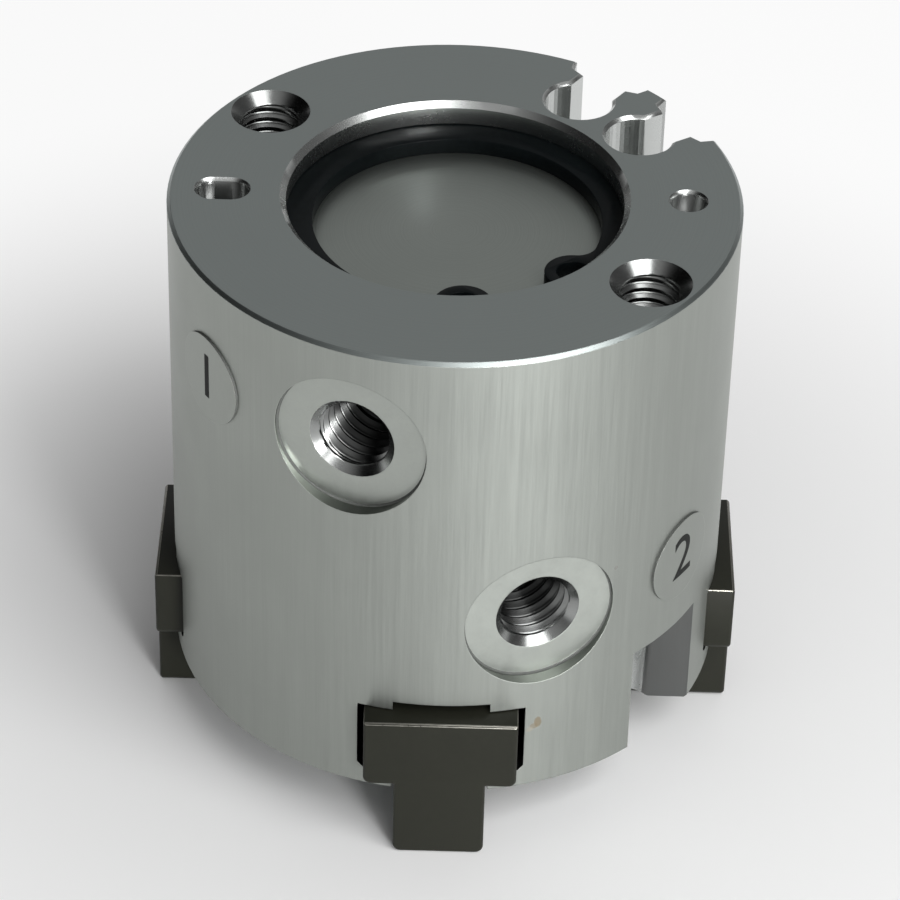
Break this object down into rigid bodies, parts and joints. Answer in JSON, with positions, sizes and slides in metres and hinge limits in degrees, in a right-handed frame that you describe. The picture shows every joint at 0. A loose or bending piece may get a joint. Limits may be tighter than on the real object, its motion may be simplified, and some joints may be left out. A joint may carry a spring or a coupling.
{
  "type": "four-finger parallel gripper",
  "caption": "Round pneumatic gripper: jaws in a cross slide in and out together, driven by a piston and a slotted cam cone; threaded mounting face, air ports and sensor grooves.",
  "frame": {"origin": "on the body axis, at the level of the jaw feet that it stands on", "axes": "+Z along the body axis towards the mounting face; jaws along -Y, +X, +Y and -X; the air ports face -Y"},
  "size_m": [0.036, 0.036, 0.036],
  "materials": {
    "housing": "satin anodised, fine brushed grain",
    "cover": "satin",
    "piston": "machined",
    "label_foil": "matt printed foil",
    "ring_steel": "black phosphated spring steel",
    "jaw_steel": "dark olive grey surface-treated steel",
    "plate_steel": "brushed",
    "screw_steel": "plain",
    "rod_steel": "ground",
    "cam_steel": "ground",
    "seal_rubber": "moulded",
    "magnet_rubber": "moulded"
  },
  "bodies": {
    "housing": {"housing": "housing", "cylinder_cover": "cover", "cover_seal": "seal_rubber", "retaining_ring": "ring_steel", "rod_seal": "seal_rubber", "end_plate": "plate_steel", "end_plate_screw_1": "screw_steel", "end_plate_screw_2": "screw_steel", "end_plate_screw_3": "screw_steel", "end_plate_screw_4": "screw_steel", "port_label_upper": "label_foil", "port_label_lower": "label_foil"},
    "piston": {"piston": "piston", "piston_seal": "seal_rubber", "piston_magnet": "magnet_rubber", "piston_screw": "screw_steel", "piston_rod": "rod_steel", "cam": "cam_steel", "cam_screw": "screw_steel"},
    "jaw_front": {"jaw_front": "jaw_steel"},
    "jaw_right": {"jaw_right": "jaw_steel"},
    "jaw_back": {"jaw_back": "jaw_steel"},
    "jaw_left": {"jaw_left": "jaw_steel"}
  },
  "joints": [
    {"name": "piston_slide", "type": "slide", "parent": "housing", "child": "piston", "axis": [0, 0, 1], "range_m": [0, 0.0025]},
    {"name": "jaw_front_slide", "type": "slide", "parent": "housing", "child": "jaw_front", "axis": [0, 1, 0], "range_m": [0, 0.002]},
    {"name": "jaw_right_slide", "type": "slide", "parent": "housing", "child": "jaw_right", "axis": [-1, 0, 0], "range_m": [0, 0.002]},
    {"name": "jaw_back_slide", "type": "slide", "parent": "housing", "child": "jaw_back", "axis": [0, -1, 0], "range_m": [0, 0.002]},
    {"name": "jaw_left_slide", "type": "slide", "parent": "housing", "child": "jaw_left", "axis": [1, 0, 0], "range_m": [0, 0.002]}
  ],
  "couplings": [
    {"joint": "jaw_front_slide", "follows": "piston_slide", "ratio": 0.8},
    {"joint": "jaw_right_slide", "follows": "piston_slide", "ratio": 0.8},
    {"joint": "jaw_back_slide", "follows": "piston_slide", "ratio": 0.8},
    {"joint": "jaw_left_slide", "follows": "piston_slide", "ratio": 0.8}
  ]
}
